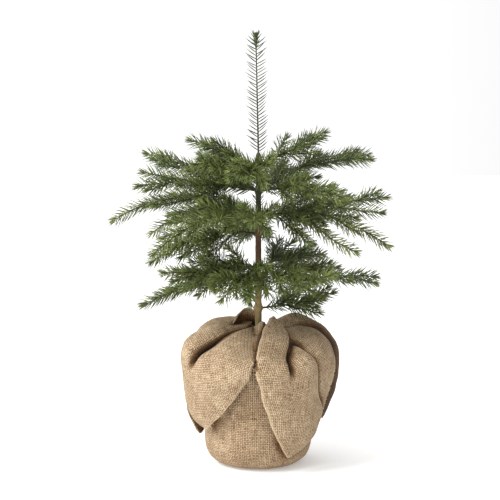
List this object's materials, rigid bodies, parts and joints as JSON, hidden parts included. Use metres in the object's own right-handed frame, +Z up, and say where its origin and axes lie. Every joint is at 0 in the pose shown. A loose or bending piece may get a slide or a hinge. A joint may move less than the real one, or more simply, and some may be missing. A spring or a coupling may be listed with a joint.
{
  "type": "artificial tabletop tree",
  "caption": "Artificial tabletop spruce in a pot wrapped in gathered burlap, with wire-cored branches that bend up and down at the trunk and a bendable leader",
  "frame": {"origin": "centre of the flat rest face under the wrapped pot", "axes": "+X to the right seen from the front, +Y to the back, +Z up along the trunk"},
  "size_m": [0.4217, 0.3046, 0.644],
  "materials": {
    "burlap": "coarse plain-weave jute, unbleached",
    "twine": "twisted jute twine",
    "pot_plastic": "moulded, matt black",
    "cement": "cast, rough",
    "steel": "drawn wire and rod",
    "bark": "moulded bark, reddish brown to olive",
    "collar_tape": "wound olive-brown binding",
    "needle_green": "moulded needles, dark green with lighter tips"
  },
  "bodies": {
    "base": {"burlap_cloth": "burlap", "neck_tie": "twine", "pot": "pot_plastic", "ballast": "cement", "trunk_core": "steel", "bark_sleeve": "bark", "whorl_collars": "collar_tape", "leader_cap": "needle_green"},
    "branch_01": {"branch_01_wire": "steel", "branch_01_spray": "needle_green"},
    "branch_02": {"branch_02_wire": "steel", "branch_02_spray": "needle_green"},
    "branch_03": {"branch_03_wire": "steel", "branch_03_spray": "needle_green"},
    "branch_04": {"branch_04_wire": "steel", "branch_04_spray": "needle_green"},
    "branch_05": {"branch_05_wire": "steel", "branch_05_spray": "needle_green"},
    "branch_06": {"branch_06_wire": "steel", "branch_06_spray": "needle_green"},
    "branch_07": {"branch_07_wire": "steel", "branch_07_spray": "needle_green"},
    "branch_08": {"branch_08_wire": "steel", "branch_08_spray": "needle_green"},
    "branch_09": {"branch_09_wire": "steel", "branch_09_spray": "needle_green"},
    "branch_10": {"branch_10_wire": "steel", "branch_10_spray": "needle_green"},
    "branch_11": {"branch_11_wire": "steel", "branch_11_spray": "needle_green"},
    "branch_12": {"branch_12_wire": "steel", "branch_12_spray": "needle_green"},
    "branch_13": {"branch_13_wire": "steel", "branch_13_spray": "needle_green"},
    "branch_14": {"branch_14_wire": "steel", "branch_14_spray": "needle_green"},
    "branch_15": {"branch_15_wire": "steel", "branch_15_spray": "needle_green"},
    "branch_16": {"branch_16_wire": "steel", "branch_16_spray": "needle_green"},
    "branch_17": {"branch_17_wire": "steel", "branch_17_spray": "needle_green"},
    "branch_18": {"branch_18_wire": "steel", "branch_18_spray": "needle_green"},
    "branch_19": {"branch_19_wire": "steel", "branch_19_spray": "needle_green"},
    "branch_20": {"branch_20_wire": "steel", "branch_20_spray": "needle_green"},
    "branch_21": {"branch_21_wire": "steel", "branch_21_spray": "needle_green"},
    "branch_22": {"branch_22_wire": "steel", "branch_22_spray": "needle_green"},
    "branch_23": {"branch_23_wire": "steel", "branch_23_spray": "needle_green"},
    "branch_24": {"branch_24_wire": "steel", "branch_24_spray": "needle_green"},
    "branch_25": {"branch_25_wire": "steel", "branch_25_spray": "needle_green"},
    "leader": {"leader_wire": "steel", "leader_spray": "needle_green"}
  },
  "joints": [
    {"name": "branch_01_bend", "type": "hinge", "parent": "base", "child": "branch_01", "pos_m": [-0.00563, 0.00205, 0.447], "axis": [0.342, 0.9397, 0], "range_deg": [-20, 32.5]},
    {"name": "branch_02_bend", "type": "hinge", "parent": "base", "child": "branch_02", "pos_m": [-0.00543, -0.00253, 0.447], "axis": [-0.4226, 0.9063, 0], "range_deg": [-22.5, 32.5]},
    {"name": "branch_03_bend", "type": "hinge", "parent": "base", "child": "branch_03", "pos_m": [0.00556, 0.00225, 0.447], "axis": [0.3746, -0.9272, 0], "range_deg": [-20, 32.5]},
    {"name": "branch_04_bend", "type": "hinge", "parent": "base", "child": "branch_04", "pos_m": [-0.00083, -0.00594, 0.447], "axis": [-0.9903, 0.1392, 0], "range_deg": [-22.5, 32.5]},
    {"name": "branch_05_bend", "type": "hinge", "parent": "base", "child": "branch_05", "pos_m": [0.00586, 0.00311, 0.411], "axis": [0.4695, -0.8829, 0], "range_deg": [-22.5, 17.5]},
    {"name": "branch_06_bend", "type": "hinge", "parent": "base", "child": "branch_06", "pos_m": [0.00515, -0.00417, 0.411], "axis": [-0.6293, -0.7771, 0], "range_deg": [-22.5, 32.5]},
    {"name": "branch_07_bend", "type": "hinge", "parent": "base", "child": "branch_07", "pos_m": [-0.00606, 0.0027, 0.411], "axis": [0.4067, 0.9135, 0], "range_deg": [-17.5, 20]},
    {"name": "branch_08_bend", "type": "hinge", "parent": "base", "child": "branch_08", "pos_m": [-0.00653, -0.00115, 0.411], "axis": [-0.1736, 0.9848, 0], "range_deg": [-15, 15]},
    {"name": "branch_09_bend", "type": "hinge", "parent": "base", "child": "branch_09", "pos_m": [-0.00351, 0.00562, 0.411], "axis": [0.848, 0.5299, 0], "range_deg": [-22.5, 32.5]},
    {"name": "branch_10_bend", "type": "hinge", "parent": "base", "child": "branch_10", "pos_m": [0.00183, 0.00638, 0.411], "axis": [0.9613, -0.2756, 0], "range_deg": [-22.5, 32.5]},
    {"name": "branch_11_bend", "type": "hinge", "parent": "base", "child": "branch_11", "pos_m": [-0.00681, 0.00108, 0.372], "axis": [0.1564, 0.9877, 0], "range_deg": [-22.5, 15]},
    {"name": "branch_12_bend", "type": "hinge", "parent": "base", "child": "branch_12", "pos_m": [-0.00652, -0.00224, 0.372], "axis": [-0.3256, 0.9455, 0], "range_deg": [-15, 20]},
    {"name": "branch_13_bend", "type": "hinge", "parent": "base", "child": "branch_13", "pos_m": [-0.00461, -0.00512, 0.372], "axis": [-0.7431, 0.6691, 0], "range_deg": [-22.5, 32.5]},
    {"name": "branch_14_bend", "type": "hinge", "parent": "base", "child": "branch_14", "pos_m": [0.00679, 0.0012, 0.372], "axis": [0.1736, -0.9848, 0], "range_deg": [-22.5, 25]},
    {"name": "branch_15_bend", "type": "hinge", "parent": "base", "child": "branch_15", "pos_m": [0.00639, -0.00258, 0.372], "axis": [-0.3746, -0.9272, 0], "range_deg": [-22.5, 22.5]},
    {"name": "branch_16_bend", "type": "hinge", "parent": "base", "child": "branch_16", "pos_m": [-0.00048, -0.00687, 0.372], "axis": [-0.9976, 0.0698, 0], "range_deg": [-22.5, 32.5]},
    {"name": "branch_17_bend", "type": "hinge", "parent": "base", "child": "branch_17", "pos_m": [-0.00572, -0.00254, 0.347], "axis": [-0.4067, 0.9135, 0], "range_deg": [-20, 15]},
    {"name": "branch_18_bend", "type": "hinge", "parent": "base", "child": "branch_18", "pos_m": [-0.00087, 0.0062, 0.347], "axis": [0.9903, 0.1392, 0], "range_deg": [-22.5, 32.5]},
    {"name": "branch_19_bend", "type": "hinge", "parent": "base", "child": "branch_19", "pos_m": [-0.00719, 0, 0.297], "axis": [0, 1, 0], "range_deg": [-22.5, 32.5]},
    {"name": "branch_20_bend", "type": "hinge", "parent": "base", "child": "branch_20", "pos_m": [0.00712, -0.001, 0.297], "axis": [-0.1392, -0.9903, 0], "range_deg": [-22.5, 32.5]},
    {"name": "branch_21_bend", "type": "hinge", "parent": "base", "child": "branch_21", "pos_m": [-0.00292, -0.00657, 0.297], "axis": [-0.9135, 0.4067, 0], "range_deg": [-22.5, 32.5]},
    {"name": "branch_22_bend", "type": "hinge", "parent": "base", "child": "branch_22", "pos_m": [0.0049, -0.00526, 0.297], "axis": [-0.7314, -0.682, 0], "range_deg": [-22.5, 25]},
    {"name": "branch_23_bend", "type": "hinge", "parent": "base", "child": "branch_23", "pos_m": [0.00481, 0.00534, 0.297], "axis": [0.7431, -0.6691, 0], "range_deg": [-22.5, 32.5]},
    {"name": "branch_24_bend", "type": "hinge", "parent": "base", "child": "branch_24", "pos_m": [0.00685, 0.00146, 0.234], "axis": [0.2079, -0.9781, 0], "range_deg": [-22.5, 30]},
    {"name": "branch_25_bend", "type": "hinge", "parent": "base", "child": "branch_25", "pos_m": [-0.00596, -0.00402, 0.297], "axis": [-0.5592, 0.829, 0], "range_deg": [-22.5, 27.5]},
    {"name": "leader_bend", "type": "hinge", "parent": "base", "child": "leader", "pos_m": [0, 0, 0.463], "axis": [0, 1, 0], "range_deg": [-20, 20]}
  ]
}
